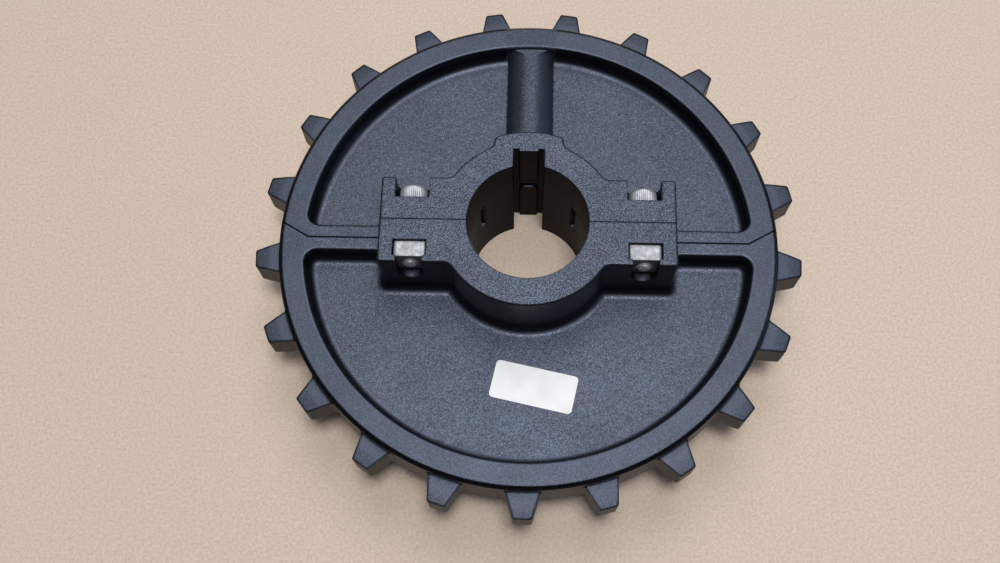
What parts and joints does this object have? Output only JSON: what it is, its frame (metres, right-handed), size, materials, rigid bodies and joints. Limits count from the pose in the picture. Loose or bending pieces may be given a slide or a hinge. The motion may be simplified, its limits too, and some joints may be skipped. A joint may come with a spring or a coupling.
{
  "type": "split chain sprocket",
  "caption": "Split moulded sprocket for flat-top conveyor chain: two toothed halves with a keyed bore, joined by cap screws and square nuts in the hub's ears.",
  "frame": {"origin": "on the shaft axis, midway between the two hub faces", "axes": "+Z along the shaft axis towards the front hub face, +Y towards the keyway, across the split plane, +X along the split"},
  "size_m": [0.1696, 0.169, 0.0476],
  "materials": {
    "moulded_plastic": "fine-grained moulded polyamide, blue-black, satin",
    "screw_steel": "zinc-plated cap screw with a knurled head",
    "nut_steel": "bright square nut, saw-cut faces"
  },
  "bodies": {
    "keyed_half": {"keyed_half": "moulded_plastic"},
    "plain_half": {"plain_half": "moulded_plastic", "square_nut_left_front": "nut_steel", "square_nut_left_back": "nut_steel", "square_nut_right_front": "nut_steel", "square_nut_right_back": "nut_steel"},
    "screw_left_front": {"clamp_screw_left_front": "screw_steel"},
    "screw_left_back": {"clamp_screw_left_back": "screw_steel"},
    "screw_right_front": {"clamp_screw_right_front": "screw_steel"},
    "screw_right_back": {"clamp_screw_right_back": "screw_steel"}
  },
  "joints": [
    {"name": "split_opening", "type": "slide", "parent": "keyed_half", "child": "plain_half", "axis": [0, -1, 0], "range_m": [0, 0.006]},
    {"name": "screw_left_front_turn", "type": "hinge", "parent": "keyed_half", "child": "screw_left_front", "pos_m": [-0.0348, 0.0072, 0.0178], "axis": [0, 1, 0], "range_deg": [0, 2700]},
    {"name": "screw_left_back_turn", "type": "hinge", "parent": "keyed_half", "child": "screw_left_back", "pos_m": [-0.0348, 0.0072, -0.0178], "axis": [0, 1, 0], "range_deg": [0, 2700]},
    {"name": "screw_right_front_turn", "type": "hinge", "parent": "keyed_half", "child": "screw_right_front", "pos_m": [0.0348, 0.0072, 0.0178], "axis": [0, 1, 0], "range_deg": [0, 2700]},
    {"name": "screw_right_back_turn", "type": "hinge", "parent": "keyed_half", "child": "screw_right_back", "pos_m": [0.0348, 0.0072, -0.0178], "axis": [0, 1, 0], "range_deg": [0, 2700]}
  ],
  "couplings": [
    {"joint": "screw_left_front_turn", "follows": "split_opening", "rad_per_m": 7854},
    {"joint": "screw_left_back_turn", "follows": "split_opening", "rad_per_m": 7854},
    {"joint": "screw_right_front_turn", "follows": "split_opening", "rad_per_m": 7854},
    {"joint": "screw_right_back_turn", "follows": "split_opening", "rad_per_m": 7854}
  ]
}
